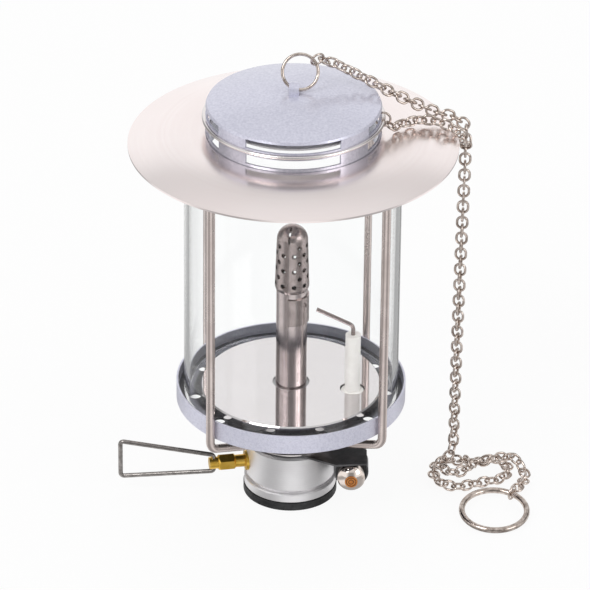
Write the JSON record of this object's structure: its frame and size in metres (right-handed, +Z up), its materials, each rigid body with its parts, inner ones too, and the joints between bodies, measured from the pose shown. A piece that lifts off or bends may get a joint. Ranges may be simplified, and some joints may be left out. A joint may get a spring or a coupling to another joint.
{
  "type": "gas lantern",
  "caption": "Canister-top gas lantern with a bare perforated burner in a glass chimney, a wire frame, a flared shade, a vented cap and a hanging chain that lies beside it.",
  "frame": {"origin": "centre of the foot ring's underside, on the lantern's axis", "axes": "+Z up along the burner, -Y to the front with the igniter's button, +X to the right"},
  "size_m": [0.1639, 0.127, 0.1902],
  "materials": {
    "rubber": "matt black rubber",
    "satin_aluminium": "satin, turned",
    "brass": "turned brass",
    "handle_steel": "drawn wire",
    "polished_steel": "polished stainless sheet",
    "plain_steel": "plain zinc-plated steel",
    "burner_steel": "stainless tube, a little dulled by heat",
    "hammered_paint": "pale blue-grey metallic paint",
    "frame_wire": "satin drawn wire",
    "glass": "clear blown glass",
    "dark_steel": "dark plated sheet",
    "black_plastic": "black moulding",
    "ceramic": "unglazed white ceramic",
    "chrome": "chrome plated",
    "copper_disc": "orange-copper enamel",
    "nickel": "nickel plated wire, a little warm"
  },
  "bodies": {
    "frame": {"foot_ring": "rubber", "valve_body": "satin_aluminium", "thread_insert": "brass", "canister_seal": "rubber", "opener_pin": "brass", "gland_nut": "brass", "spindle_seal": "rubber", "jet": "brass", "strut_plate": "polished_steel", "strut_clamp": "polished_steel", "neck_nut": "plain_steel", "mixing_tube": "plain_steel", "base_pan": "hammered_paint", "lock_nut": "plain_steel", "reflector_disc": "polished_steel", "burner_tube": "burner_steel", "burner_sleeve": "burner_steel", "burner_head": "burner_steel", "strut_back_right": "frame_wire", "strut_back_left": "frame_wire", "strut_front_left": "frame_wire", "strut_front_right": "frame_wire", "glass_chimney": "glass", "shade": "polished_steel", "vent_collar": "hammered_paint", "cap_bead": "polished_steel", "cap": "hammered_paint", "heat_baffle": "polished_steel", "ring_strap": "hammered_paint", "igniter_bracket": "dark_steel", "igniter_barrel": "black_plastic", "piezo_crystal": "ceramic", "ceramic_insulator": "ceramic", "insulator_clip": "plain_steel", "electrode_wire": "burner_steel", "stay_ring": "nickel", "joint_ring": "nickel", "end_jump_ring": "nickel", "end_ring": "nickel", "chain_upper": "nickel", "chain_stay": "nickel", "chain_fall": "nickel", "chain_heap": "nickel"},
    "spindle": {"valve_spindle": "brass"},
    "handle": {"wire_handle": "handle_steel"},
    "button": {"igniter_button": "chrome", "button_badge": "copper_disc"},
    "top_ring": {"hang_ring": "nickel", "jump_ring": "nickel"}
  },
  "joints": [
    {"name": "valve_turn", "type": "hinge", "parent": "frame", "child": "spindle", "pos_m": [0, 0, 0.014], "axis": [-0.9816, -0.1908, 0], "range_deg": [0, 540]},
    {"name": "handle_fold", "type": "hinge", "parent": "spindle", "child": "handle", "pos_m": [-0.03023, -0.00588, 0.014], "axis": [0, 0, 1], "range_deg": [-65, 95]},
    {"name": "button_press", "type": "slide", "parent": "frame", "child": "button", "axis": [0, 1, 0], "range_m": [0, 0.005], "stiffness_N_per_m": 400},
    {"name": "ring_swing", "type": "hinge", "parent": "frame", "child": "top_ring", "pos_m": [0, 0, 0.1774], "axis": [1, 0, 0], "range_deg": [-40, 85], "deforming": ["chain_upper"]}
  ]
}
